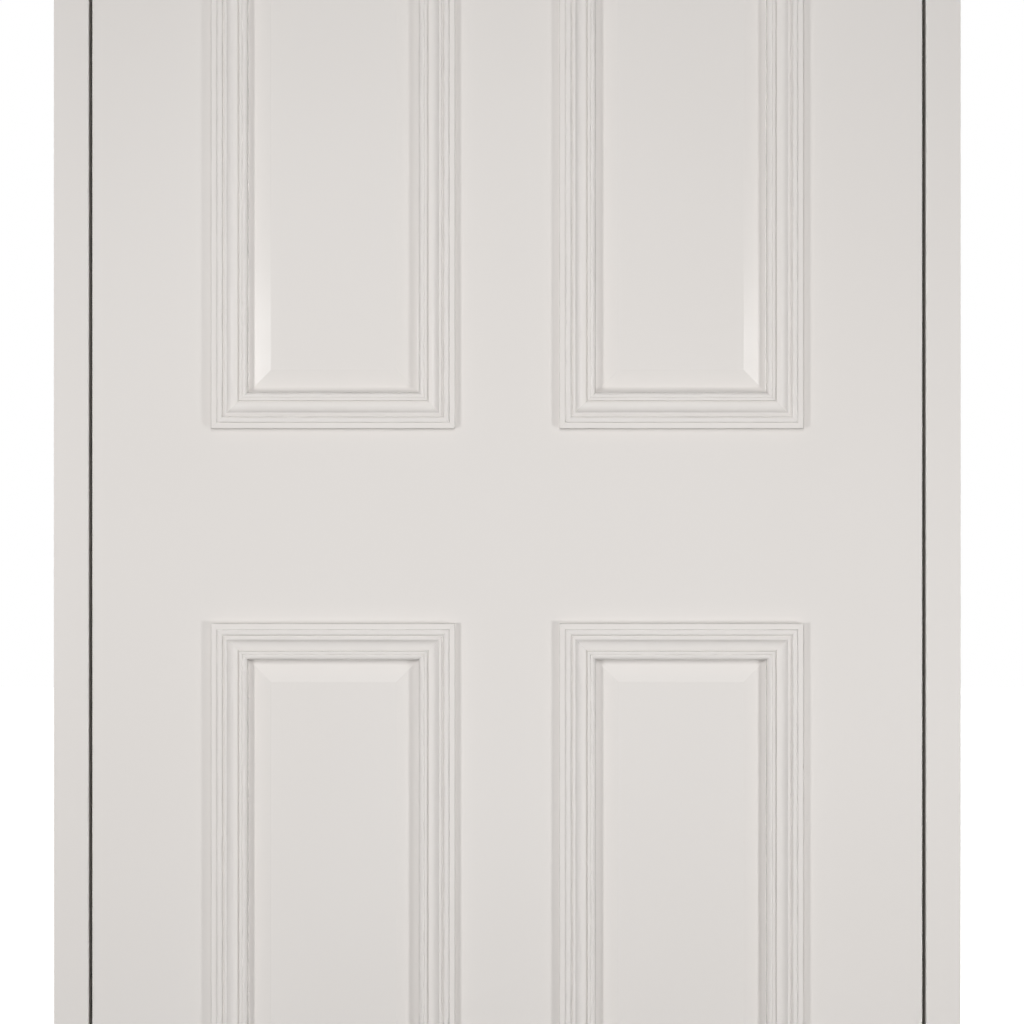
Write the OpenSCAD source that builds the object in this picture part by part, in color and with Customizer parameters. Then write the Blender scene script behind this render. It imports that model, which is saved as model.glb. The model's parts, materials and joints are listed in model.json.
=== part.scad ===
// Four-panel fire door leaf, hung on three hinges in its timber frame.
// X runs across the doorway, Y through the frame from the moulded front, Z up from the floor.
// Sizes are in millimetres.

/* [Leaf] */
// Width of the leaf at its front face
leaf_w = 762; // [686:1:926]
// Height of the leaf
leaf_h = 1981; // [1900:1:2135]
// Thickness of the stiles and rails
leaf_t = 44; // [44:1:54]
// Width of each stile
stile_w = 119; // [105:1:140]
// Width of the muntins between the panels
muntin_w = 114; // [95:1:130]
// Height of the top rail
top_rail_h = 119; // [105:1:140]
// Height of the lock rail
lock_rail_h = 197; // [170:1:230]
// Centre of the lock rail above the foot of the leaf
lock_rail_z = 900; // [840:1:1000]
// Height of the bottom rail
bottom_rail_h = 214; // [190:1:260]
// Slope of the lock edge in degrees, which lets it pass the jamb
lock_edge_slope = 2.5; // [2:0.1:4]
// Radius of the painted arrises
arris_r = 1.5; // [0.5:0.1:2.5]

/* [Panels] */
// Thickness of a panel at its tongue
tongue_t = 28; // [22:0.5:30]
// Thickness of a panel at its raised field
field_t = 38; // [32:0.5:40]
// Width of the sloping border round the field
bevel_w = 21; // [15:0.5:28]
// Depth of the grooves that hold the panels and stub tenons
groove_d = 12; // [9:0.5:16]
// Room left at the foot of a groove for the panel to swell
swell_gap = 1; // [0.5:0.1:2]
// Room left at the end of a stub tenon
tenon_gap = 0.5; // [0.2:0.1:1]
// Clearance on each cheek of a groove
groove_fit = 0.15; // [0.05:0.05:0.3]
// Radius of the dowels in the joints
dowel_r = 8; // [6:0.5:9]
// Length of the dowels
dowel_l = 120; // [80:1:130]

/* [Bolection moulding] */
// Width of the moulding
mould_w = 33; // [31:0.5:40]
// Lap of the moulding over the stiles and rails
mould_lap = 9; // [7:0.5:12]
// Height of the reed, the highest member, above the face of the leaf
reed_h = 10; // [9:0.1:12]
// Width of the reed
reed_w = 5.7; // [5:0.1:6.5]
// Radius of the reed's shoulders
reed_r = 2; // [1.5:0.1:2.3]
// Width of the outer fillet
outer_fillet_w = 5; // [4:0.1:6]
// Height of the outer fillet
outer_fillet_h = 8; // [6:0.1:8.5]
// Width of the crest between the reed and the hollow
crest_w = 2.3; // [2:0.1:3]
// Height of the crest
crest_h = 9; // [8.6:0.1:9.5]
// Drop from the crest to the start of the hollow
crest_drop = 0.5; // [0.3:0.1:0.9]
// Width of the hollow
hollow_w = 9.7; // [8:0.1:10.5]
// Height at the foot of the hollow
hollow_h = 4.2; // [3.5:0.1:5]
// Radius of the hollow
hollow_r = 9.5; // [7:0.5:10]
// Width of the fillet beside the inner round
bead_w = 2.7; // [2.2:0.1:3.2]
// Height of that fillet
bead_h = 5.6; // [5.2:0.1:6.5]
// Width of the narrow sunk lines between members
quirk_w = 1.4; // [1.2:0.1:1.8]
// Depth of the sunk lines
quirk_d = 1.3; // [0.8:0.1:1.6]
// Radius of the moulding's fine arrises
fine_r = 0.5; // [0.3:0.05:0.6]
// Glue gap at each mitre
mitre_gap = 0.04; // [0.02:0.01:0.1]

/* [Frame] */
// Thickness of the jambs and head
jamb_t = 32; // [28:1:40]
// Depth of the frame through the wall
jamb_d = 133; // [120:1:160]
// Gap between the leaf and the frame at the sides and top
edge_gap = 3; // [2.5:0.1:4]
// Gap under the leaf
floor_gap = 6; // [3:0.5:10]
// Depth of the housings in the head that take the jambs
housing_d = 10; // [8:0.5:14]
// Thickness of the planted stops
stop_t = 12; // [10:0.5:16]
// Width of the stops
stop_w = 38; // [30:1:45]
// Clearance between the closed leaf and the stops
stop_gap = 2; // [1:0.1:3]
// Radius on the free edges of the stops
stop_r = 3; // [1.5:0.1:4]

/* [Wall fixings] */
// Radius of the fixing holes through each jamb
fixing_r = 3.25; // [2.5:0.05:4]
// Radius of the counterbores for their heads
counterbore_r = 6.5; // [5.5:0.1:8]
// Depth of the counterbores
counterbore_d = 8; // [5:0.5:12]
// Distance of the end fixings from the floor and head
fixing_inset = 150; // [100:5:250]
// Fixings in each jamb
fixing_count = 4; // [3:1:5]

/* [Hinges] */
// Height of a hinge
hinge_h = 102; // [95:1:110]
// Width of a hinge plate let into the wood
plate_w = 32; // [28:0.5:36]
// Thickness of a hinge plate
plate_t = 3; // [2.5:0.1:3.5]
// Radius of the knuckles
knuckle_r = 6.5; // [6:0.1:7]
// Distance of the pin in front of the leaf
knuckle_out = 7.2; // [7:0.1:9]
// Radius of the pin
pin_r = 3; // [2.5:0.1:3.5]
// Running clearance round the pin
pin_fit = 0.05; // [0.02:0.01:0.1]
// Height of a bearing ring
bearing_h = 2.5; // [2:0.1:3.5]
// Gap between neighbouring knuckles
knuckle_gap = 0.3; // [0.2:0.05:0.5]
// Thickness of the intumescent pad under a plate
pad_t = 1; // [0.5:0.1:2]
// Top of the leaf down to the upper hinge
upper_hinge_drop = 150; // [120:5:200]
// Upper hinge down to the middle hinge
middle_hinge_drop = 200; // [150:5:500]
// Foot of the leaf up to the lower hinge
lower_hinge_rise = 225; // [175:5:275]

/* [Screws] */
// Radius of a hinge screw
hinge_screw_r = 2.1; // [1.7:0.1:2.5]
// Length of a hinge screw
hinge_screw_l = 32; // [25:1:40]
// Radius of a head-joint screw
head_screw_r = 2.5; // [2:0.1:3]
// Length of a head-joint screw
head_screw_l = 80; // [70:1:100]
// Clearance round a screw or dowel
screw_fit = 0.05; // [0.02:0.01:0.1]

/* [Seals] */
// Width of the intumescent strips
strip_w = 15; // [10:0.5:20]
// Thickness of the intumescent strips
strip_t = 4; // [3:0.1:5]
// Width of the smoke brush
brush_w = 2; // [1.5:0.1:3]
// Clearance between the smoke brush and the leaf
brush_gap = 0.3; // [0.2:0.05:0.5]

/* [Hidden] */
$fn = 64;
arc_step = 12;
small_arc_step = 45;
over = 1;

ROWS = ["upper", "lower"];
SIDES = ["left", "right"];
FACES = ["front", "back"];
HINGES = ["lower", "middle", "upper"];

PAINT = [0.87, 0.86, 0.84];
TIMBER = [0.78, 0.62, 0.42];
STEEL = [0.7, 0.71, 0.72];
SEAL = [0.93, 0.92, 0.88];
BRUSH = [0.2, 0.2, 0.21];
PAD = [0.3, 0.3, 0.31];

// Doorway
face_y = -jamb_d / 2;
half_w = leaf_w / 2 + edge_gap;
head_z = floor_gap + leaf_h + edge_gap;
stop_y = face_y + leaf_t + stop_gap;
seal_y = face_y + leaf_t / 2;
fixing_y = (stop_y + stop_w - face_y) / 2;
fixing_pitch = (head_z - 2 * fixing_inset) / (fixing_count - 1);
brush_h = edge_gap - brush_gap;

// Leaf
cheek = (leaf_t - tongue_t) / 2;
tongue = groove_d - swell_gap;
tenon_l = groove_d - tenon_gap;
open_w = (leaf_w - 2 * stile_w - muntin_w) / 2;
lock_z = lock_rail_z - lock_rail_h / 2;
top_z = leaf_h - top_rail_h;
upper_z = lock_z + lock_rail_h;
upper_h = top_z - upper_z;
lower_h = lock_z - bottom_rail_h;
RAILS = [[0, bottom_rail_h], [lock_z, lock_rail_h], [top_z, top_rail_h]];

// Hinges
half_gap = edge_gap / 2;
axis_x = -half_w + half_gap;
axis_y = face_y - knuckle_out;
upper_hinge_z = floor_gap + leaf_h - upper_hinge_drop - hinge_h;
HINGE_Z = [
    floor_gap + lower_hinge_rise,
    upper_hinge_z - middle_hinge_drop - hinge_h,
    upper_hinge_z
];
bearing_run = 0.1;
bearing_gap = bearing_h + bearing_run;
knuckle_l = (hinge_h - 2 * bearing_gap - 2 * knuckle_gap) / 5;
FRAME_KNUCKLES = [0, 2, 4];
LEAF_KNUCKLES = [1, 3];
mortise_d = plate_t + pad_t;

// Lengths of seal on the hinge side, broken at each hinge
HINGE_SIDE_RUNS = [
    [0, HINGE_Z[0]],
    [HINGE_Z[0] + hinge_h, HINGE_Z[1]],
    [HINGE_Z[1] + hinge_h, HINGE_Z[2]],
    [HINGE_Z[2] + hinge_h, head_z]
];
LOCK_SIDE_RUNS = [[0, head_z]];

// Outlines: each corner is [x, y, radius]
function unit(v) = v / norm(v);
function flat(p) = [p[0], p[1]];
function swing(a) = a > 180 ? a - 360 : a < -180 ? a + 360 : a;
function rounded_corner(before, corner, after) =
    let (
        a = unit(flat(before) - flat(corner)),
        b = unit(flat(after) - flat(corner)),
        half = acos(a * b) / 2,
        room = min(norm(flat(before) - flat(corner)), norm(flat(after) - flat(corner))),
        r = min(corner[2], room * tan(half)),
        middle = flat(corner) + unit(a + b) * r / sin(half),
        from = flat(corner) + a * r / tan(half) - middle,
        to = flat(corner) + b * r / tan(half) - middle,
        start = atan2(from[1], from[0]),
        turn = swing(atan2(to[1], to[0]) - start),
        steps = ceil(abs(turn) / (r < 1 ? small_arc_step : arc_step))
    )
    [for (i = [0 : steps]) middle + r * [cos(start + turn * i / steps), sin(start + turn * i / steps)]];
function outline(corners) =
    let (n = len(corners))
    [for (i = [0 : n - 1])
        each corners[i][2] == 0
            ? [flat(corners[i])]
            : rounded_corner(corners[(i + n - 1) % n], corners[i], corners[(i + 1) % n])];

// Bolection section: x inward from the outer edge, y up from the face of the leaf
function bolection() =
    let (
        reed_u = outer_fillet_w,
        quirk_u = reed_u + reed_w,
        crest_u = quirk_u + quirk_w,
        hollow_u = crest_u + crest_w,
        line_u = hollow_u + hollow_w,
        bead_u = line_u + quirk_w,
        round_u = bead_u + bead_w,
        shoulder_u = round_u + 0.3 * bead_w,
        step = 0.3 * quirk_d,
        round_h = bead_h - step,
        lean = 0.18 * quirk_w
    )
    outline([
        [0, 0, 0],
        [0, outer_fillet_h, fine_r],
        [reed_u, outer_fillet_h, fine_r / 2],
        [reed_u + lean, reed_h, reed_r],
        [quirk_u - lean, reed_h, reed_r],
        [quirk_u, crest_h - quirk_d, 0],
        [crest_u - lean, crest_h - quirk_d, 0],
        [crest_u, crest_h, fine_r],
        [hollow_u, crest_h, fine_r],
        [hollow_u + lean, crest_h - crest_drop, 0],
        [hollow_u + 0.36 * hollow_w, hollow_h, hollow_r],
        [line_u, hollow_h, 0],
        [line_u + lean, hollow_h - quirk_d, 0],
        [bead_u - lean, hollow_h - quirk_d, 0],
        [bead_u, bead_h, fine_r],
        [round_u - lean, bead_h, fine_r],
        [round_u, round_h - step, 0],
        [shoulder_u, round_h, fine_r],
        [mould_w, round_h, 0.95 * (mould_w - shoulder_u)],
        [mould_w, -cheek, 0],
        [mould_lap, -cheek, 0],
        [mould_lap, 0, 0]
    ]);

// Half section of a fielded panel, mirrored end to end: x along, y across the thickness
function fielded(length) =
    let (
        border = tongue + mould_w - mould_lap,
        a = tongue_t / 2,
        b = field_t / 2
    )
    [
        [0, -a], [border, -a], [border + bevel_w, -b],
        [length - border - bevel_w, -b], [length - border, -a], [length, -a],
        [length, a], [length - border, a], [length - border - bevel_w, b],
        [border + bevel_w, b], [border, a], [0, a]
    ];

// Countersunk screw section below its head, with clearance for the hole it goes in
function screw_section(r, length, fit, top) =
    let (
        head_r = 2 * r,
        rim = 0.2 * r,
        tip_r = 0.2 * r
    )
    [
        [0, top], [head_r + fit, top], [head_r + fit, -rim],
        [r + fit, -rim - r], [r + fit, head_r - length], [tip_r, -length - fit], [0, -length - fit]
    ];

function knuckle_z(i) =
    i * knuckle_l + (i > 0 ? bearing_gap : 0) + (i > 1 ? knuckle_gap : 0)
    + (i > 2 ? knuckle_gap : 0) + (i > 3 ? bearing_gap : 0);

function open_x(side) = side == "left" ? stile_w : leaf_w - stile_w - open_w;
function open_z(row) = row == "upper" ? upper_z : bottom_rail_h;
function open_h(row) = row == "upper" ? upper_h : lower_h;

module on_leaf() {
    translate([-leaf_w / 2, face_y, floor_gap]) children();
}

// Countersunk screw with a cross recess, its head at the origin and its point down
module screw(r, length) {
    slot_w = 0.55 * r;
    slot_l = 2.5 * r;
    slot_d = 0.7 * r;
    difference() {
        rotate_extrude() polygon(screw_section(r, length, 0, 0));
        for (turn = [0, 90])
            rotate([0, 0, turn])
                translate([-slot_l / 2, -slot_w / 2, -slot_d])
                    cube([slot_l, slot_w, slot_d + over]);
    }
}

module screw_hole(r, length) {
    rotate_extrude() polygon(screw_section(r, length + over, screw_fit, over));
}

// Joints of the leaf
module at_rail_dowels() {
    for (x = [stile_w, leaf_w - stile_w], rail = RAILS, side = [-1, 1])
        translate([x, leaf_t / 2, rail[0] + rail[1] / 2 + side * rail[1] / 4])
            rotate([0, 90, 0])
                children();
}

module at_muntin_dowels() {
    for (z = [bottom_rail_h, lock_z, upper_z, top_z], side = [-1, 1])
        translate([leaf_w / 2 + side * muntin_w / 4, leaf_t / 2, z])
            children();
}

module dowel() {
    chamfer = 1.5;
    half = dowel_l / 2;
    rotate_extrude() polygon([
        [0, -half], [dowel_r - chamfer, -half], [dowel_r, chamfer - half],
        [dowel_r, half - chamfer], [dowel_r - chamfer, half], [0, half]
    ]);
}

module dowel_bore() {
    cylinder(r = dowel_r + screw_fit, h = dowel_l + 2 * over, center = true);
}

// Grooves into an edge that faces +1 or -1 along its axis
module upright_groove(edge, facing) {
    translate([facing > 0 ? edge - groove_d : edge - over, cheek - groove_fit, -over])
        cube([groove_d + over, tongue_t + 2 * groove_fit, leaf_h + 2 * over]);
}

module level_groove(edge, facing) {
    translate([0, cheek - groove_fit, facing > 0 ? edge - groove_d : edge - over])
        cube([leaf_w, tongue_t + 2 * groove_fit, groove_d + over]);
}

module hinge_stile() {
    color(PAINT) difference() {
        on_leaf() difference() {
            linear_extrude(leaf_h) polygon(outline([
                [0, 0, arris_r], [stile_w, 0, 0], [stile_w, leaf_t, 0], [0, leaf_t, arris_r]
            ]));
            upright_groove(stile_w, 1);
            at_rail_dowels() dowel_bore();
        }
        at_hinges() leaf_mortise();
    }
}

module lock_stile() {
    back_w = leaf_w - leaf_t * tan(lock_edge_slope);
    inner = leaf_w - stile_w;
    color(PAINT) on_leaf() difference() {
        linear_extrude(leaf_h) polygon(outline([
            [inner, 0, 0], [leaf_w, 0, arris_r], [back_w, leaf_t, arris_r], [inner, leaf_t, 0]
        ]));
        upright_groove(inner, -1);
        at_rail_dowels() dowel_bore();
    }
}

module rail(z, height, grooves) {
    clear_w = leaf_w - 2 * stile_w;
    color(PAINT) on_leaf() difference() {
        union() {
            translate([stile_w, 0, z]) cube([clear_w, leaf_t, height]);
            translate([stile_w - tenon_l, cheek, z]) cube([clear_w + 2 * tenon_l, tongue_t, height]);
        }
        for (facing = grooves) level_groove(facing > 0 ? z + height : z, facing);
        at_rail_dowels() dowel_bore();
        at_muntin_dowels() dowel_bore();
    }
}

module top_rail() {
    rail(top_z, top_rail_h, [-1]);
}

module lock_rail() {
    rail(lock_z, lock_rail_h, [-1, 1]);
}

module bottom_rail() {
    rail(0, bottom_rail_h, [1]);
}

module muntin(row) {
    x = (leaf_w - muntin_w) / 2;
    z = open_z(row);
    color(PAINT) on_leaf() difference() {
        union() {
            translate([x, 0, z]) cube([muntin_w, leaf_t, open_h(row)]);
            translate([x, cheek, z - tenon_l]) cube([muntin_w, tongue_t, open_h(row) + 2 * tenon_l]);
        }
        upright_groove(x, -1);
        upright_groove(x + muntin_w, 1);
        at_muntin_dowels() dowel_bore();
    }
}

module joint_dowels() {
    color(TIMBER) on_leaf() {
        at_rail_dowels() dowel();
        at_muntin_dowels() dowel();
    }
}

module panel(row, side) {
    w = open_w + 2 * tongue;
    h = open_h(row) + 2 * tongue;
    color(PAINT) on_leaf()
        translate([open_x(side) - tongue, leaf_t / 2, open_z(row) - tongue])
            intersection() {
                linear_extrude(h) polygon(fielded(w));
                rotate([90, 0, 90]) linear_extrude(w) polygon([for (p = fielded(h)) [p[1], p[0]]]);
            }
}

// One length of moulding along X, mitred at both ends, its section rising towards -Y
module mitred_length(length) {
    ease = mitre_gap / sqrt(2);
    intersection() {
        rotate([180, -90, 0]) linear_extrude(length) polygon(bolection());
        translate([0, cheek + over, 0])
            rotate([90, 0, 0])
                linear_extrude(cheek + reed_h + 2 * over)
                    polygon([
                        [ease, 0], [length - ease, 0],
                        [length - ease - mould_w, mould_w], [ease + mould_w, mould_w]
                    ]);
    }
}

module moulding_set(w, h) {
    corners = [[0, 0], [w, 0], [w, h], [0, h]];
    for (i = [0 : 3])
        translate([corners[i][0], 0, corners[i][1]])
            rotate([0, -90 * i, 0])
                mitred_length(i % 2 == 0 ? w : h);
}

module moulding(face, row, side) {
    w = open_w + 2 * mould_lap;
    h = open_h(row) + 2 * mould_lap;
    back = face == "back";
    color(PAINT) on_leaf()
        translate([open_x(side) - mould_lap, back ? leaf_t : 0, open_z(row) - mould_lap])
            mirror([0, back ? 1 : 0, 0])
                moulding_set(w, h);
}

// Hinges: the pin is the Z axis, the leaf on +X and the jamb on -X
module at_hinges() {
    for (z = HINGE_Z) translate([axis_x, axis_y, z]) children();
}

module at_plate_screws() {
    for (i = [0 : 3])
        translate([half_gap, knuckle_out + plate_w * (i % 2 == 0 ? 0.34 : 0.7), hinge_h * (i + 0.5) / 4])
            rotate([0, -90, 0])
                children();
}

module plate_screw_holes() {
    at_plate_screws() screw_hole(hinge_screw_r, hinge_screw_l);
}

module leaf_mortise() {
    translate([half_gap - over, knuckle_out - over, 0])
        cube([mortise_d + over, plate_w + over, hinge_h]);
    plate_screw_holes();
}

module hinge_plate(knuckles) {
    difference() {
        union() {
            translate([half_gap, knuckle_out, 0]) cube([plate_t, plate_w, hinge_h]);
            for (i = knuckles)
                translate([0, 0, knuckle_z(i)]) {
                    cylinder(r = knuckle_r, h = knuckle_l);
                    translate([half_gap, 0, 0]) cube([plate_t, knuckle_out, knuckle_l]);
                }
        }
        translate([0, 0, -over]) cylinder(r = pin_r + pin_fit, h = hinge_h + 2 * over);
        plate_screw_holes();
    }
}

module hinge_leaf_plate(i) {
    color(STEEL) translate([axis_x, axis_y, HINGE_Z[i]]) hinge_plate(LEAF_KNUCKLES);
}

module hinge_frame_plate(i) {
    color(STEEL) translate([axis_x, axis_y, HINGE_Z[i]]) mirror([1, 0, 0]) hinge_plate(FRAME_KNUCKLES);
}

module hinge_pin(i) {
    cap_r = knuckle_r - 1;
    cap_h = 2.5;
    ease = 1;
    color(STEEL) translate([axis_x, axis_y, HINGE_Z[i]]) rotate_extrude() polygon([
        [0, -cap_h], [cap_r - ease, -cap_h], [cap_r, ease - cap_h], [cap_r, 0], [pin_r, 0],
        [pin_r, hinge_h], [cap_r, hinge_h], [cap_r, hinge_h + cap_h - ease],
        [cap_r - ease, hinge_h + cap_h], [0, hinge_h + cap_h]
    ]);
}

module hinge_bearings(i) {
    low_z = knuckle_z(0) + knuckle_l;
    high_z = knuckle_z(4) - bearing_h;
    ring_r = knuckle_r - 0.4;
    color(STEEL) for (z = [low_z, high_z])
        translate([axis_x, axis_y, HINGE_Z[i] + z]) difference() {
            cylinder(r = ring_r, h = bearing_h);
            translate([0, 0, -over]) cylinder(r = pin_r + pin_fit, h = bearing_h + 2 * over);
        }
}

module hinge_pad() {
    difference() {
        translate([half_gap + plate_t, knuckle_out, 0]) cube([pad_t, plate_w, hinge_h]);
        plate_screw_holes();
    }
}

module leaf_hinge_pads() {
    color(PAD) at_hinges() hinge_pad();
}

module jamb_hinge_pads() {
    color(PAD) at_hinges() mirror([1, 0, 0]) hinge_pad();
}

module leaf_hinge_screws() {
    color(STEEL) at_hinges() at_plate_screws() screw(hinge_screw_r, hinge_screw_l);
}

module jamb_hinge_screws() {
    color(STEEL) at_hinges() mirror([1, 0, 0]) at_plate_screws() screw(hinge_screw_r, hinge_screw_l);
}

// Frame: shapes for the hinge side at -X, mirrored for the lock side
module side_seals(runs, width, from, to) {
    for (run = runs)
        translate([-half_w + from, seal_y - width / 2, run[0]])
            cube([to - from, width, run[1] - run[0]]);
}

module wall_fixings() {
    for (i = [0 : fixing_count - 1])
        translate([-half_w, fixing_y, fixing_inset + i * fixing_pitch])
            rotate([0, -90, 0]) {
                translate([0, 0, -over]) cylinder(r = fixing_r, h = jamb_t + 2 * over);
                translate([0, 0, -over]) cylinder(r = counterbore_r, h = counterbore_d + over);
            }
}

module at_head_screws() {
    for (side = [-1, 1], y = [-jamb_d / 4, jamb_d / 4])
        translate([side * (half_w + jamb_t / 2), y, head_z + jamb_t])
            children();
}

module jamb(runs) {
    back_x = -half_w - jamb_t;
    difference() {
        linear_extrude(head_z + housing_d) polygon(outline([
            [back_x, face_y, 0], [-half_w, face_y, arris_r], [-half_w, -face_y, arris_r], [back_x, -face_y, 0]
        ]));
        side_seals(runs, strip_w, -strip_t, over);
        wall_fixings();
        at_head_screws() screw_hole(head_screw_r, head_screw_l);
    }
}

module hinge_jamb() {
    color(PAINT) difference() {
        jamb(HINGE_SIDE_RUNS);
        at_hinges() mirror([1, 0, 0]) leaf_mortise();
    }
}

module lock_jamb() {
    color(PAINT) mirror([1, 0, 0]) jamb(LOCK_SIDE_RUNS);
}

module frame_head() {
    head_w = 2 * (half_w + jamb_t);
    color(PAINT) difference() {
        translate([-head_w / 2, 0, head_z])
            rotate([90, 0, 90])
                linear_extrude(head_w)
                    polygon(outline([
                        [face_y, 0, arris_r], [-face_y, 0, arris_r], [-face_y, jamb_t, 0], [face_y, jamb_t, 0]
                    ]));
        for (side = [-1, 1])
            translate([side * (half_w + jamb_t), 0, head_z])
                cube([2 * jamb_t, 2 * jamb_d, 2 * housing_d], center = true);
        translate([-half_w, seal_y - strip_w / 2, head_z - over]) cube([2 * half_w, strip_w, strip_t + over]);
        at_head_screws() screw_hole(head_screw_r, head_screw_l);
    }
}

module head_joint_screws() {
    color(STEEL) at_head_screws() screw(head_screw_r, head_screw_l);
}

module side_stop() {
    free_x = stop_t - half_w;
    color(PAINT) linear_extrude(head_z - stop_t) polygon(outline([
        [-half_w, stop_y, 0], [free_x, stop_y, stop_r],
        [free_x, stop_y + stop_w, stop_r], [-half_w, stop_y + stop_w, 0]
    ]));
}

module hinge_side_stop() {
    side_stop();
}

module lock_side_stop() {
    mirror([1, 0, 0]) side_stop();
}

module head_stop() {
    color(PAINT) translate([-half_w, 0, head_z]) rotate([90, 0, 90]) linear_extrude(2 * half_w)
        polygon(outline([
            [stop_y, 0, 0], [stop_y, -stop_t, stop_r],
            [stop_y + stop_w, -stop_t, stop_r], [stop_y + stop_w, 0, 0]
        ]));
}

module hinge_side_strip() {
    color(SEAL) side_seals(HINGE_SIDE_RUNS, strip_w, -strip_t, 0);
}

module lock_side_strip() {
    color(SEAL) mirror([1, 0, 0]) side_seals(LOCK_SIDE_RUNS, strip_w, -strip_t, 0);
}

module head_strip() {
    color(SEAL) translate([-half_w, seal_y - strip_w / 2, head_z]) cube([2 * half_w, strip_w, strip_t]);
}

// The side brushes stop under the head brush
function under_head(runs) = [for (run = runs) [run[0], min(run[1], head_z - brush_h)]];

module hinge_side_brush() {
    color(BRUSH) side_seals(under_head(HINGE_SIDE_RUNS), brush_w, 0, brush_h);
}

module lock_side_brush() {
    color(BRUSH) mirror([1, 0, 0]) side_seals(under_head(LOCK_SIDE_RUNS), brush_w, 0, brush_h);
}

module head_brush() {
    color(BRUSH) translate([-half_w, seal_y - brush_w / 2, head_z - brush_h]) cube([2 * half_w, brush_w, brush_h]);
}

hinge_stile();
lock_stile();
top_rail();
lock_rail();
bottom_rail();
for (row = ROWS)
    muntin(row);
for (row = ROWS, side = SIDES)
    panel(row, side);
for (face = FACES, row = ROWS, side = SIDES)
    moulding(face, row, side);
joint_dowels();
leaf_hinge_pads();
leaf_hinge_screws();
hinge_jamb();
lock_jamb();
frame_head();
head_joint_screws();
hinge_side_stop();
lock_side_stop();
head_stop();
hinge_side_strip();
lock_side_strip();
head_strip();
hinge_side_brush();
lock_side_brush();
head_brush();
for (i = [0 : 2]) {
    hinge_leaf_plate(i);
    hinge_frame_plate(i);
    hinge_pin(i);
    hinge_bearings(i);
}
jamb_hinge_pads();
jamb_hinge_screws();
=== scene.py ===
"""Looks for the fire door: satin paint, hinge steel, seals and bristles, studio light and camera.

Lengths are metres in the part's own frame: X across the doorway, Y through the frame, Z up.
"""

import json
import math
import random

import bpy
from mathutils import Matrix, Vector


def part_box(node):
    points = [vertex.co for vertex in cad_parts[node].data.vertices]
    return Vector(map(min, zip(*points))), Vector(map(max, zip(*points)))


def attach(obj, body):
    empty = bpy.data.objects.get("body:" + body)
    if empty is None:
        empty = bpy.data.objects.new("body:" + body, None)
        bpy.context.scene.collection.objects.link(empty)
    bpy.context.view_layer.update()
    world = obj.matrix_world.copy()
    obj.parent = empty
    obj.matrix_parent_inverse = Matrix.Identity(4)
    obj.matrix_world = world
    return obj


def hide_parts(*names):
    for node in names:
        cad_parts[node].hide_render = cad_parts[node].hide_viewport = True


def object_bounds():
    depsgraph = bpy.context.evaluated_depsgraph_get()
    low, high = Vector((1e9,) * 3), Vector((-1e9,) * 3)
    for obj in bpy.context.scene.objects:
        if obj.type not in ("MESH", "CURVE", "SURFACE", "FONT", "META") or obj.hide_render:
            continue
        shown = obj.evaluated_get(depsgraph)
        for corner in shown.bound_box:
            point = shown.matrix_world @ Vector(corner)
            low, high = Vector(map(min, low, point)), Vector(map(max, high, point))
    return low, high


MM = 0.001
X, Y, Z = Vector((1, 0, 0)), Vector((0, 1, 0)), Vector((0, 0, 1))

# Photo framing, in pixels of the square photograph
PHOTO_SIDE = 1024
LEAF_EDGES_PX = (92.0, 922.5)
LOCK_RAIL_PX = 526.0
CAMERA_DISTANCE = 3.0
SENSOR_WIDTH = 36.0

# The stretch of a noise's range that most of it falls in
NOISE_SPAN = (0.3, 0.7)

# Paint, in tones that match the photograph's plain faces
PAINT_SRGB = (0.8716, 0.856, 0.8422)
PAINT_DEEP_SRGB = (0.8656, 0.849, 0.8342)
PAINT_DRIFT_SPAN = (0.35, 0.65)
PAINT_ROUGH = (0.15, 0.19)
PAINT_WAVE = 0.06 * MM
# Orange peel heights; the mouldings' narrow faces are smooth
FLAT_PEEL = 0.003 * MM
PANEL_PEEL = 0.006 * MM
NO_PEEL = 0.0

# Primer on the frame's faces against the wall, and how far in the paint laps over it
PRIMER_SRGB = (0.86, 0.853, 0.835)
PRIMER_GRAIN_SRGB = (0.815, 0.803, 0.775)
PRIMER_GRAIN_SPAN = (0.4, 0.72)
PRIMER_GRAIN_STRETCH = 0.03
PRIMER_ROUGH = 0.7
PRIMER_SKIN = 0.6 * MM
LAP_MOST = 9 * MM
LAP_LEAST = 3 * MM

# Steel
HINGE_SRGB = (0.72, 0.715, 0.7)
BEARING_SRGB = (0.6, 0.59, 0.57)
SCREW_SRGB = (0.68, 0.675, 0.66)
STEEL_SHADE = 0.88
STEEL_SMOOTHER = 0.06
STEEL_ROUGHER = 0.08
SCRATCH_DEPTH = 0.008 * MM

# Seals, pads and dowels
STRIP_SRGB = (0.9, 0.89, 0.85)
STRIP_GRIME_SRGB = (0.8, 0.78, 0.73)
STRIP_GRIME_SPAN = (0.45, 0.75)
STRIP_GRIME_MOST = 0.5
STRIP_ROUGH = (0.42, 0.58)
STRIP_LINE_DEPTH = 0.02 * MM
PILE_SRGB = (0.16, 0.16, 0.17)
PILE_LIGHT_SRGB = (0.3, 0.3, 0.31)
PILE_ROUGH = (0.7, 0.9)
PAD_SRGB = (0.24, 0.24, 0.25)
PAD_FLECK_SRGB = (0.36, 0.36, 0.37)
PAD_ROUGH = (0.6, 0.85)
PAD_FLECK_DEPTH = 0.03 * MM
TIMBER_SRGB = (0.78, 0.62, 0.43)
TIMBER_GRAIN_SRGB = (0.66, 0.49, 0.31)
TIMBER_GRAIN_SPAN = (0.35, 0.7)
TIMBER_ROUGH = (0.55, 0.7)
TIMBER_GRAIN_DEPTH = 0.04 * MM

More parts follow.
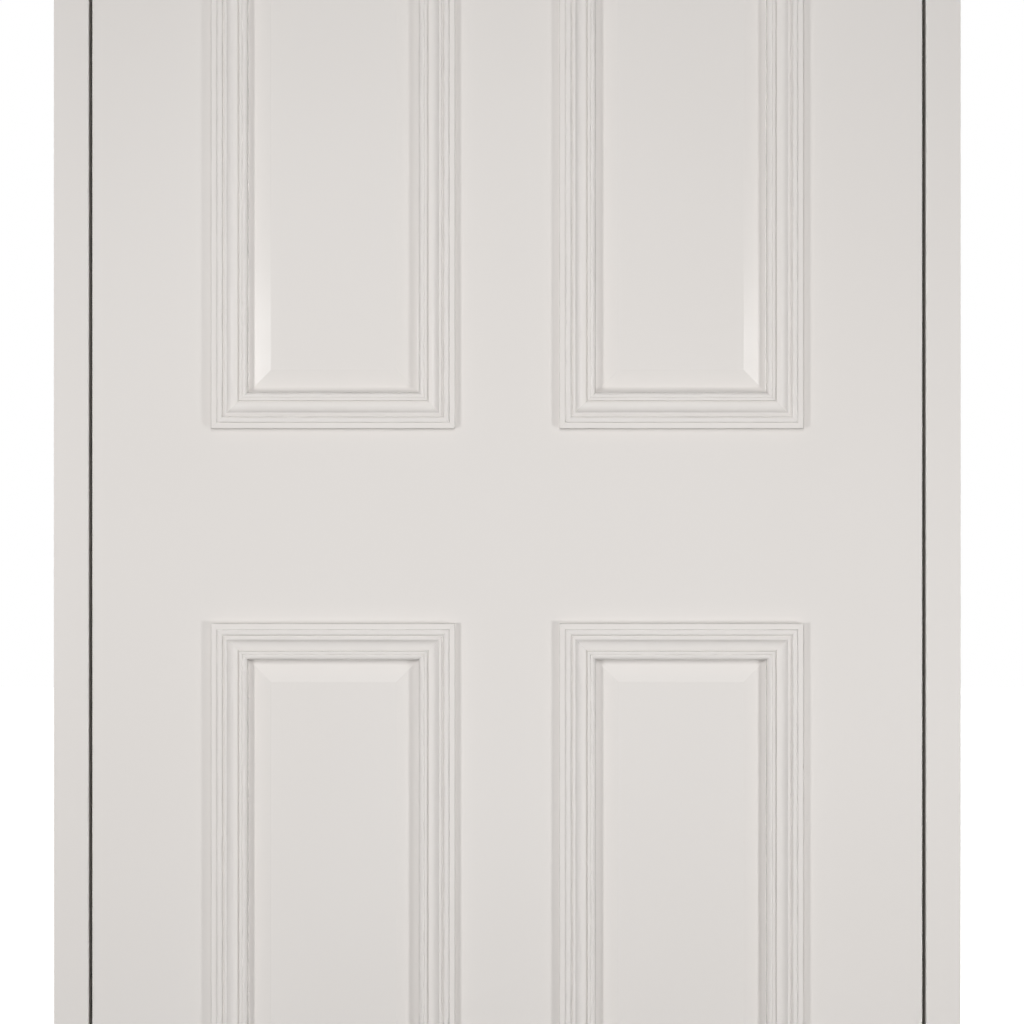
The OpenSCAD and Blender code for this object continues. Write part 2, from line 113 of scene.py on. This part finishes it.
# Shading of rounded corners: corners this near are joined, edges below this angle are smooth
JOIN_WITHIN = 0.004 * MM
SMOOTH_BELOW = math.radians(32)

# Paint that fills the corner between a moulding and its panel
FILLET_RADIUS = 9.0 * MM
FILLET_TILT = math.radians(25)
FILLET_STEPS = 12

# Bristles of the smoke brushes
TUFT_PITCH = 1.1 * MM
TUFT_ROWS = 3
TUFT_HALF = 0.32 * MM
TUFT_TIP_SHARE = 0.55
TUFT_JITTER = 0.25
TUFT_HEIGHT = (0.9, 0.995)
TUFT_LEAN_ALONG_MM = 0.35
TUFT_LEAN_ACROSS_MM = 0.2

# Lamps, placed from the eye's height and the leaf's face
SOFTBOX_SIZE = (0.24, 0.24)
SOFTBOX_OUT = {"left": 1.13, "right": 1.16}
SOFTBOX_AHEAD = {"left": 1.5, "right": 1.16}
SOFTBOX_RAISE = {"left": -0.25, "right": -0.44}
SOFTBOX_WATTS = {"left": 11.4, "right": 8.2}
CARD_SIZE = (0.5, 0.12)
CARD_OUT = {"left": 1.5, "right": 1.6}
CARD_AHEAD = 2.0
CARD_RAISE = 0.26
CARD_WATTS = 1.4
FRONT_SIZE = (0.3, 0.75)
FRONT_ASIDE = -0.02
FRONT_AHEAD = 2.0
FRONT_RAISE = 0.45
FRONT_WATTS = 21.8
# Lamps behind the door, placed from the floor under it
REAR_SIZE = (1.6, 1.6)
REAR_OUT = 2.4
REAR_BEHIND = 2.2
REAR_HEIGHT = 3.2
REAR_AIM_HEIGHT = 1.0
REAR_WATTS = 95.0

# World light, by the height that it comes from
WORLD_LOW = 0.09
WORLD_TOP = 0.15
WORLD_SPAN = (-0.4, 0.8)
# What gloss sees: dim straight ahead of the leaf, white beside it and overhead
GLOSS_AHEAD = 0.2
GLOSS_AHEAD_SPAN = (-0.97, -0.5)
GLOSS_OVERHEAD_SPAN = (0.2, 0.45)

# Floor: pale where it is seen, darker as a source of bounced light, glowing white far out
FLOOR_HALF_SIDE = 14.0
FLOOR_SRGB = (0.94, 0.94, 0.935)
FLOOR_BOUNCE_SRGB = (0.26, 0.26, 0.26)
FLOOR_ROUGH = 0.9
FLOOR_LIFT = 0.12
FLOOR_FADE = (1.4, 2.6)
FLOOR_GLOSS_SPAN = (-2.0, 0.0)

WHITE = (1, 1, 1, 1)

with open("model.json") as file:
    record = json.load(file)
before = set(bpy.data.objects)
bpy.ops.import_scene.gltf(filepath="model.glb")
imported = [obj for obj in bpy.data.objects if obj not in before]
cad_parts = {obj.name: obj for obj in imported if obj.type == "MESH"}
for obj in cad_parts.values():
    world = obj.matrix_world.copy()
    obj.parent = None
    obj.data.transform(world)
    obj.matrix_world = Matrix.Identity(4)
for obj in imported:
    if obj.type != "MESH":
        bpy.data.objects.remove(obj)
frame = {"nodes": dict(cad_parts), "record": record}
cad_low, cad_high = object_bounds()
nodes = frame["nodes"]
slot_of = {row["node"]: row["material_slot"] for row in frame["record"]["subparts"]}
body_of = {n: b for b, names in frame["record"]["behaviour"]["bodies"].items() for n in names}


def linear(srgb):
    """An sRGB colour as the linear RGBA that shader sockets take."""
    return [c / 12.92 if c <= 0.04045 else ((c + 0.055) / 1.055) ** 2.4 for c in srgb] + [1.0]


# Shader building


class Shader:
    """A material's node tree with short calls for the nodes used here."""

    def __init__(self, name):
        self.material = bpy.data.materials.new(name)
        self.material.use_nodes = True
        self.tree = self.material.node_tree
        self.bsdf = self.tree.nodes["Principled BSDF"]
        self.place = self.node("ShaderNodeTexCoord").outputs["Object"]

    def node(self, kind):
        return self.tree.nodes.new(kind)

    def link(self, out, socket):
        self.tree.links.new(out, socket)

    def put(self, value, socket):
        if isinstance(value, bpy.types.NodeSocket):
            self.link(value, socket)
        else:
            socket.default_value = value

    def math(self, operation, a, b=0.0):
        n = self.node("ShaderNodeMath")
        n.operation = operation
        self.put(a, n.inputs[0])
        self.put(b, n.inputs[1])
        return n.outputs[0]

    def axis(self, index):
        n = self.node("ShaderNodeSeparateXYZ")
        self.link(self.place, n.inputs[0])
        return n.outputs[index]

    def noise(self, per_metre, stretch=(1, 1, 1), detail=3.0, roughness=0.5):
        """Noise of so many features per metre, drawn out where stretch is small."""
        mul = self.node("ShaderNodeVectorMath")
        mul.operation = "MULTIPLY"
        self.link(self.place, mul.inputs[0])
        mul.inputs[1].default_value = stretch
        n = self.node("ShaderNodeTexNoise")
        n.inputs["Scale"].default_value = per_metre
        n.inputs["Detail"].default_value = detail
        n.inputs["Roughness"].default_value = roughness
        self.link(mul.outputs[0], n.inputs["Vector"])
        return n.outputs["Fac"]

    def ramp(self, value, span, to_low=0.0, to_high=1.0):
        """A value's span spread from to_low to to_high, held level beyond it."""
        n = self.node("ShaderNodeMapRange")
        n.inputs["From Min"].default_value = span[0]
        n.inputs["From Max"].default_value = span[1]
        n.inputs["To Min"].default_value = to_low
        n.inputs["To Max"].default_value = to_high
        self.link(value, n.inputs["Value"])
        return n.outputs["Result"]

    def mix(self, factor, a, b):
        n = self.node("ShaderNodeMix")
        n.data_type = "RGBA"
        self.put(factor, n.inputs["Factor"])
        self.put(a, n.inputs["A"])
        self.put(b, n.inputs["B"])
        return n.outputs["Result"]

    def bump(self, height, distance, under=None):
        n = self.node("ShaderNodeBump")
        n.inputs["Strength"].default_value = 1.0
        n.inputs["Distance"].default_value = distance
        self.link(height, n.inputs["Height"])
        if under is not None:
            self.link(under, n.inputs["Normal"])
        return n.outputs["Normal"]

    def set(self, **values):
        for name, value in values.items():
            self.put(value, self.bsdf.inputs[name.replace("_", " ")])


def paint_surface(s, peel_height):
    """Sprayed satin paint: faint tone drift and, with a peel height, orange peel over slow waves."""
    tone = s.ramp(s.noise(per_metre=2.2, detail=2.0), PAINT_DRIFT_SPAN)
    colour = s.mix(tone, linear(PAINT_SRGB), linear(PAINT_DEEP_SRGB))
    rough = s.ramp(s.noise(per_metre=38.0, detail=4.0), NOISE_SPAN, *PAINT_ROUGH)
    s.set(Base_Color=colour, Roughness=rough, IOR=1.5)
    if peel_height:
        waves = s.bump(s.noise(per_metre=12.0, detail=1.0), PAINT_WAVE)
        s.set(Normal=s.bump(s.noise(per_metre=650.0, detail=1.0), peel_height, waves))
    return colour, rough


def paint(name, peel_height):
    s = Shader(name)
    paint_surface(s, peel_height)
    return s.material


def frame_paint(name, grain_run):
    """Paint on what shows, primer against the wall, with the paint lapped round its edges."""
    s = Shader(name)
    colour, rough = paint_surface(s, FLAT_PEEL)
    outer_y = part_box("lock_jamb")[1].y
    side = s.math("GREATER_THAN", s.math("ABSOLUTE", s.axis(0)), cad_high.x - PRIMER_SKIN)
    top = s.math("GREATER_THAN", s.axis(2), cad_high.z - PRIMER_SKIN)
    hidden = s.math("MAXIMUM", side, top)
    ragged = s.noise(per_metre=55.0, detail=3.0)
    lap = s.ramp(ragged, NOISE_SPAN, outer_y - LAP_MOST, outer_y - LAP_LEAST)
    inside_lap = s.math("LESS_THAN", s.math("ABSOLUTE", s.axis(1)), lap)
    bare = s.math("MULTIPLY", hidden, inside_lap)
    stretch = [PRIMER_GRAIN_STRETCH if run else 1.0 for run in grain_run]
    fibre = s.noise(per_metre=90.0, stretch=stretch, detail=5.0, roughness=0.6)
    grain = s.ramp(fibre, PRIMER_GRAIN_SPAN)
    primer = s.mix(grain, linear(PRIMER_SRGB), linear(PRIMER_GRAIN_SRGB))
    s.set(
        Base_Color=s.mix(bare, colour, primer),
        Roughness=s.math("MAXIMUM", rough, s.math("MULTIPLY", bare, PRIMER_ROUGH)),
    )
    return s.material


def steel(name, srgb, rough, stretch=(1, 1, 1)):
    """Satin steel, its fine scratches drawn out along the axis where stretch is small."""
    s = Shader(name)
    scratch = s.noise(per_metre=2600.0, stretch=stretch, detail=3.0)
    tint = s.ramp(s.noise(per_metre=45.0, detail=3.0), NOISE_SPAN)
    shade = [c * STEEL_SHADE for c in srgb]
    s.set(
        Base_Color=s.mix(tint, linear(srgb), linear(shade)),
        Metallic=1.0,
        Roughness=s.ramp(scratch, NOISE_SPAN, rough - STEEL_SMOOTHER, rough + STEEL_ROUGHER),
        Normal=s.bump(scratch, SCRATCH_DEPTH),
    )
    return s.material


def strip_plastic(name):
    """Extruded strip casing: fine lines along its length and a little grime."""
    s = Shader(name)
    line = s.noise(per_metre=900.0, stretch=(1, 1, 0.01), detail=1.0)
    dirt = s.noise(per_metre=24.0, detail=4.0)
    grime = s.ramp(dirt, STRIP_GRIME_SPAN, to_high=STRIP_GRIME_MOST)
    s.set(
        Base_Color=s.mix(grime, linear(STRIP_SRGB), linear(STRIP_GRIME_SRGB)),
        Roughness=s.ramp(line, NOISE_SPAN, *STRIP_ROUGH),
        Normal=s.bump(line, STRIP_LINE_DEPTH),
    )
    return s.material


def pile(name):
    """Dark brush fibre, each hair a little lighter or darker."""
    s = Shader(name)
    fibre = s.noise(per_metre=1500.0, detail=2.0)
    s.set(
        Base_Color=s.mix(fibre, linear(PILE_SRGB), linear(PILE_LIGHT_SRGB)),
        Roughness=s.ramp(fibre, NOISE_SPAN, *PILE_ROUGH),
    )
    return s.material


def pad_sheet(name):
    """Dark sheet with paler flecks."""
    s = Shader(name)
    fleck = s.noise(per_metre=700.0, detail=3.0)
    s.set(
        Base_Color=s.mix(fleck, linear(PAD_SRGB), linear(PAD_FLECK_SRGB)),
        Roughness=s.ramp(fleck, NOISE_SPAN, *PAD_ROUGH),
        Normal=s.bump(fleck, PAD_FLECK_DEPTH),
    )
    return s.material


def bare_timber(name):
    """Unpainted wood with its grain along X."""
    s = Shader(name)
    fibre = s.noise(per_metre=220.0, stretch=(0.06, 1, 1), detail=4.0)
    grain = s.ramp(fibre, TIMBER_GRAIN_SPAN)
    s.set(
        Base_Color=s.mix(grain, linear(TIMBER_SRGB), linear(TIMBER_GRAIN_SRGB)),
        Roughness=s.ramp(grain, (0.0, 1.0), *TIMBER_ROUGH),
        Normal=s.bump(grain, TIMBER_GRAIN_DEPTH),
    )
    return s.material


MATERIALS = {
    "leaf_paint": paint("leaf_paint", FLAT_PEEL),
    "panel_paint": paint("panel_paint", PANEL_PEEL),
    "moulding_paint": paint("moulding_paint", NO_PEEL),
    "frame_paint": frame_paint("frame_paint", grain_run=(0, 0, 1)),
    "dowel_timber": bare_timber("dowel_timber"),
    "hinge_steel": steel("hinge_steel", HINGE_SRGB, rough=0.3, stretch=(1, 1, 0.03)),
    "bearing_steel": steel("bearing_steel", BEARING_SRGB, rough=0.2),
    "screw_steel": steel("screw_steel", SCREW_SRGB, rough=0.26),
    "intumescent_strip": strip_plastic("intumescent_strip"),
    "smoke_brush": pile("smoke_brush"),
    "hinge_pad": pad_sheet("hinge_pad"),
}
# The head and its stop run across, and so does their grain
LEVEL_FRAME_PAINT = frame_paint("frame_paint_level", grain_run=(1, 0, 0))
LEVEL_NODES = ("frame_head", "head_stop")
# Slots whose solids have rounded corners; the panels' bevels stay crisp
ROUNDED = ("leaf_paint", "moulding_paint", "frame_paint")


def soft_shading():
    """A modifier group that joins split corners and shades shallow angles smooth."""
    group = bpy.data.node_groups.new("soft_shading", "GeometryNodeTree")
    group.is_modifier = True
    group.interface.new_socket("Mesh", in_out="INPUT", socket_type="NodeSocketGeometry")
    group.interface.new_socket("Mesh", in_out="OUTPUT", socket_type="NodeSocketGeometry")
    into = group.nodes.new("NodeGroupInput")
    merge = group.nodes.new("GeometryNodeMergeByDistance")
    merge.inputs["Distance"].default_value = JOIN_WITHIN
    angle = group.nodes.new("GeometryNodeInputMeshEdgeAngle")
    below = group.nodes.new("FunctionNodeCompare")
    below.operation = "LESS_THAN"
    below.inputs["B"].default_value = SMOOTH_BELOW
    smooth_faces = group.nodes.new("GeometryNodeSetShadeSmooth")
    smooth_edges = group.nodes.new("GeometryNodeSetShadeSmooth")
    smooth_edges.domain = "EDGE"
    out = group.nodes.new("NodeGroupOutput")
    link = group.links.new
    link(into.outputs[0], merge.inputs["Geometry"])
    link(merge.outputs[0], smooth_faces.inputs["Geometry"])
    link(smooth_faces.outputs[0], smooth_edges.inputs["Geometry"])
    link(angle.outputs["Unsigned Angle"], below.inputs["A"])
    link(below.outputs[0], smooth_edges.inputs["Shade Smooth"])
    link(smooth_edges.outputs[0], out.inputs[0])
    return group


def dress_nodes():
    """Materials for every solid, and soft shading for those with rounded corners."""
    softener = soft_shading()
    for name, obj in nodes.items():
        slot = slot_of[name]
        obj.data.materials.clear()
        obj.data.materials.append(LEVEL_FRAME_PAINT if name in LEVEL_NODES else MATERIALS[slot])
        if slot in ROUNDED:
            custom = obj.data.attributes.get("custom_normal")
            if custom is not None:
                obj.data.attributes.remove(custom)
            obj.modifiers.new("soft_shading", "NODES").node_group = softener
            flats = obj.modifiers.new("flat_faces", "WEIGHTED_NORMAL")
            flats.keep_sharp = True


# Added pieces


def spots_along(node, axis):
    """The places along an axis where a node's mesh has corners."""
    return sorted({round(v.co.dot(axis), 5) for v in nodes[node].data.vertices})


def add_piece(name, verts, faces, slot, body):
    """A mesh in a slot's material that rides on a body."""
    mesh = bpy.data.meshes.new(name)
    mesh.from_pydata(verts, [], faces)
    mesh.materials.append(MATERIALS[slot])
    obj = bpy.data.objects.new(name, mesh)
    bpy.context.scene.collection.objects.link(obj)
    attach(obj, body)
    return obj


def fillet_section(slope):
    """Points (inward, up) of a shallow cove from the moulding's wall to the bevel, then the corner."""
    lean = math.atan(slope)
    reach = FILLET_RADIUS * (math.sin(lean) + math.sin(FILLET_TILT))
    bottom = reach * slope - FILLET_RADIUS * (1 - math.cos(lean))
    points = []
    for i in range(FILLET_STEPS + 1):
        a = (lean + FILLET_TILT) * i / FILLET_STEPS - FILLET_TILT
        inward = FILLET_RADIUS * (math.sin(a) + math.sin(FILLET_TILT))
        points.append((inward, bottom + FILLET_RADIUS * (1 - math.cos(a))))
    return points + [(0.0, 0.0)]


def paint_fillet(face, panel):
    """Four mitred lengths of paint in the corner between a panel and its moulding on one face."""
    moulding = f"{face}_{panel}_moulding"
    panel_node = f"{panel}_panel"
    across, upright = spots_along(panel_node, X), spots_along(panel_node, Z)
    end = 0 if face == "front" else 1
    foot_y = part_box(moulding)[1 - end].y
    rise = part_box(panel_node)[end].y - foot_y
    out = Y * math.copysign(1, rise)
    section = fillet_section(abs(rise) / (across[2] - across[1]))
    left, right, low, high = across[1], across[-2], upright[1], upright[-2]
    round_panel = ((left, low), (right, low), (right, high), (left, high))
    corners = [Vector((x, foot_y, z)) for x, z in round_panel]
    verts, faces = [], []
    count = len(section)
    for i in range(4):
        a, b = corners[i], corners[(i + 1) % 4]
        run = (b - a).normalized()
        inward = (corners[(i + 2) % 4] - b).normalized()
        first = len(verts)
        verts += [a + (run + inward) * u + out * h for u, h in section]
        verts += [b + (inward - run) * u + out * h for u, h in section]
        near = [first + j for j in range(count)]
        far = [first + count + j for j in range(count)]
        sides = [(near[j], near[(j + 1) % count], far[(j + 1) % count], far[j]) for j in range(count)]
        ends = [tuple(reversed(near)), tuple(far)]
        if face == "back":
            sides, ends = ([tuple(reversed(f)) for f in group] for group in (sides, ends))
        faces += sides + ends
    obj = add_piece(f"{moulding}_paint_fillet", verts, faces, "moulding_paint", body_of[moulding])
    obj.data.shade_smooth()
    obj.data.set_sharp_from_angle(angle=SMOOTH_BELOW)


def bristles(node, out, across, along, seed):
    """Rows of leaning tufts in place of a brush solid; out is the way they stand."""
    rng = random.Random(seed)
    verts, faces = [], []
    spots = spots_along(node, along)
    low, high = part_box(node)
    width = (high - low).dot(across)
    height = abs((high - low).dot(out))
    root = low if out.dot(X + Y + Z) > 0 else high
    for start, end in zip(spots[::2], spots[1::2]):
        for i in range(int((end - start) / TUFT_PITCH)):
            for row in range(TUFT_ROWS):
                at = start + (i + 0.5 + rng.uniform(-TUFT_JITTER, TUFT_JITTER)) * TUFT_PITCH
                side = (row + 0.5) / TUFT_ROWS * width
                base = root.copy()
                for k in range(3):
                    if along[k]:
                        base[k] = at
                    elif across[k]:
                        base[k] = low[k] + side
                tip = base + out * height * rng.uniform(*TUFT_HEIGHT)
                tip += (
                    along * rng.uniform(-TUFT_LEAN_ALONG_MM, TUFT_LEAN_ALONG_MM) * MM
                    + across * rng.uniform(-TUFT_LEAN_ACROSS_MM, TUFT_LEAN_ACROSS_MM) * MM
                )
                n = len(verts)
                for p, r in ((base, TUFT_HALF), (tip, TUFT_TIP_SHARE * TUFT_HALF)):
                    verts += [p + along * r, p + across * r, p - along * r, p - across * r]
                faces += [(n + j, n + (j + 1) % 4, n + 4 + (j + 1) % 4, n + 4 + j) for j in range(4)]
                faces += [(n + 4, n + 5, n + 6, n + 7), (n + 3, n + 2, n + 1, n)]
    obj = add_piece(f"{node}_bristles", verts, faces, "smoke_brush", body_of[node])
    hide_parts(node)


# Stage, light and camera


def add_floor():
    """A wide floor that is seen pale, fades to white and stays out of the leaf's gloss ahead of it."""
    side = FLOOR_HALF_SIDE
    corners = [(-side, -side, 0), (side, -side, 0), (side, side, 0), (-side, side, 0)]
    mesh = bpy.data.meshes.new("floor")
    mesh.from_pydata(corners, [], [(0, 1, 2, 3)])
    floor = bpy.data.objects.new("floor", mesh)
    bpy.context.scene.collection.objects.link(floor)
    s = Shader("floor")
    rays = s.node("ShaderNodeLightPath").outputs
    seen = rays["Is Camera Ray"]
    for kind in ("Is Glossy Ray", "Is Transmission Ray"):
        seen = s.math("MAXIMUM", seen, rays[kind])
    radius = s.node("ShaderNodeVectorMath")
    radius.operation = "LENGTH"
    s.link(s.place, radius.inputs[0])
    lift = s.ramp(radius.outputs["Value"], FLOOR_FADE, to_low=FLOOR_LIFT)
    in_front = s.ramp(s.axis(1), FLOOR_GLOSS_SPAN, to_low=1.0, to_high=0.0)
    ahead = s.math("MULTIPLY", rays["Is Glossy Ray"], in_front)
    lift = s.math("MULTIPLY", lift, s.math("SUBTRACT", 1.0, ahead))
    pale = s.math("SUBTRACT", seen, ahead)
    s.set(
        Base_Color=s.mix(pale, linear(FLOOR_BOUNCE_SRGB), linear(FLOOR_SRGB)),
        Roughness=FLOOR_ROUGH,
        Emission_Color=WHITE,
        Emission_Strength=s.math("MULTIPLY", seen, lift),
    )
    mesh.materials.append(s.material)


def add_world():
    """White where it is seen, brighter from above as light, dim straight ahead of the leaf for gloss."""
    world = bpy.data.worlds.new("studio")
    bpy.context.scene.world = world
    world.use_nodes = True
    tree = world.node_tree
    background = tree.nodes["Background"]
    coords = tree.nodes.new("ShaderNodeTexCoord")
    split = tree.nodes.new("ShaderNodeSeparateXYZ")
    tree.links.new(coords.outputs["Generated"], split.inputs[0])

    def ranged(value, span, to_low, to_high):
        n = tree.nodes.new("ShaderNodeMapRange")
        n.interpolation_type = "SMOOTHSTEP"
        for key, v in zip(("From Min", "From Max", "To Min", "To Max"), (*span, to_low, to_high)):
            n.inputs[key].default_value = v
        tree.links.new(value, n.inputs["Value"])
        return n.outputs["Result"]

    def chosen(factor, a, b):
        n = tree.nodes.new("ShaderNodeMix")
        tree.links.new(factor, n.inputs["Factor"])
        for value, socket in ((a, n.inputs["A"]), (b, n.inputs["B"])):
            if isinstance(value, float):
                socket.default_value = value
            else:
                tree.links.new(value, socket)
        return n.outputs["Result"]

    fill = ranged(split.outputs["Z"], WORLD_SPAN, WORLD_LOW, WORLD_TOP)
    gloss = tree.nodes.new("ShaderNodeMath")
    gloss.operation = "MAXIMUM"
    beside = ranged(split.outputs["Y"], GLOSS_AHEAD_SPAN, GLOSS_AHEAD, 1.0)
    overhead = ranged(split.outputs["Z"], GLOSS_OVERHEAD_SPAN, 0.0, 1.0)
    tree.links.new(beside, gloss.inputs[0])
    tree.links.new(overhead, gloss.inputs[1])
    rays = tree.nodes.new("ShaderNodeLightPath")
    strength = chosen(rays.outputs["Is Glossy Ray"], fill, gloss.outputs[0])
    strength = chosen(rays.outputs["Is Transmission Ray"], strength, 1.0)
    strength = chosen(rays.outputs["Is Camera Ray"], strength, 1.0)
    background.inputs["Color"].default_value = WHITE
    tree.links.new(strength, background.inputs["Strength"])


def add_lamp(name, place, target, size, watts):
    light = bpy.data.lights.new(name, "AREA")
    light.shape = "RECTANGLE"
    light.size, light.size_y = size
    light.energy = watts
    obj = bpy.data.objects.new(name, light)
    bpy.context.scene.collection.objects.link(obj)
    obj.location = place
    obj.rotation_euler = (target - place).to_track_quat("-Z", "Y").to_euler()
    return obj


def hide_from_gloss(lamp):
    """Leave a lamp out of reflections, also out of those that scattered rays would pick up."""
    lamp.visible_glossy = False
    lamp.data.cycles.use_multiple_importance_sampling = False


def add_lights(eye):
    """Side and front lamps for light and shadow, cards that only glint, and lamps behind the door."""
    face_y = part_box("lock_rail")[0].y
    aim = Vector((0, face_y, eye.z))
    rear_aim = Z * REAR_AIM_HEIGHT
    for name, side in (("left", -1), ("right", 1)):
        height = eye.z + SOFTBOX_RAISE[name]
        place = Vector((side * SOFTBOX_OUT[name], face_y - SOFTBOX_AHEAD[name], height))
        hide_from_gloss(add_lamp(f"softbox_{name}", place, aim, SOFTBOX_SIZE, SOFTBOX_WATTS[name]))
        place = Vector((side * CARD_OUT[name], face_y - CARD_AHEAD, eye.z + CARD_RAISE))
        add_lamp(f"card_{name}", place, aim, CARD_SIZE, CARD_WATTS).visible_diffuse = False
        place = Vector((side * REAR_OUT, REAR_BEHIND, REAR_HEIGHT))
        add_lamp(f"rear_{name}", place, rear_aim, REAR_SIZE, REAR_WATTS)
    place = Vector((eye.x + FRONT_ASIDE, face_y - FRONT_AHEAD, eye.z + FRONT_RAISE))
    hide_from_gloss(add_lamp("front_fill", place, aim, FRONT_SIZE, FRONT_WATTS))


def add_camera():
    """Straight at the front face, with the leaf's edges and lock rail where the photo has them."""
    left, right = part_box("hinge_stile")[0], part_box("lock_stile")[1]
    rail_low, rail_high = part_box("lock_rail")
    metres_per_px = (right.x - left.x) / (LEAF_EDGES_PX[1] - LEAF_EDGES_PX[0])
    middle_px = PHOTO_SIDE / 2
    leaf_px = sum(LEAF_EDGES_PX) / 2
    x = (left.x + right.x) / 2 + (middle_px - leaf_px) * metres_per_px
    z = (rail_low.z + rail_high.z) / 2 + (LOCK_RAIL_PX - middle_px) * metres_per_px
    data = bpy.data.cameras.new("camera")
    data.sensor_width = SENSOR_WIDTH
    data.lens = SENSOR_WIDTH * CAMERA_DISTANCE / (PHOTO_SIDE * metres_per_px)
    camera = bpy.data.objects.new("camera", data)
    bpy.context.scene.collection.objects.link(camera)
    camera.location = (x, rail_low.y - CAMERA_DISTANCE, z)
    camera.rotation_euler = (math.radians(90), 0, 0)
    bpy.context.scene.camera = camera
    return camera.location.copy()


dress_nodes()
for face in ("front", "back"):
    for panel in ("upper_left", "upper_right", "lower_left", "lower_right"):
        paint_fillet(face, panel)
bristles("hinge_side_brush", X, Y, Z, seed=3)
bristles("lock_side_brush", -X, Y, Z, seed=5)
bristles("head_brush", -Z, Y, X, seed=7)

eye = add_camera()
add_floor()
add_world()
add_lights(eye)
bpy.context.scene.view_settings.view_transform = "Standard"
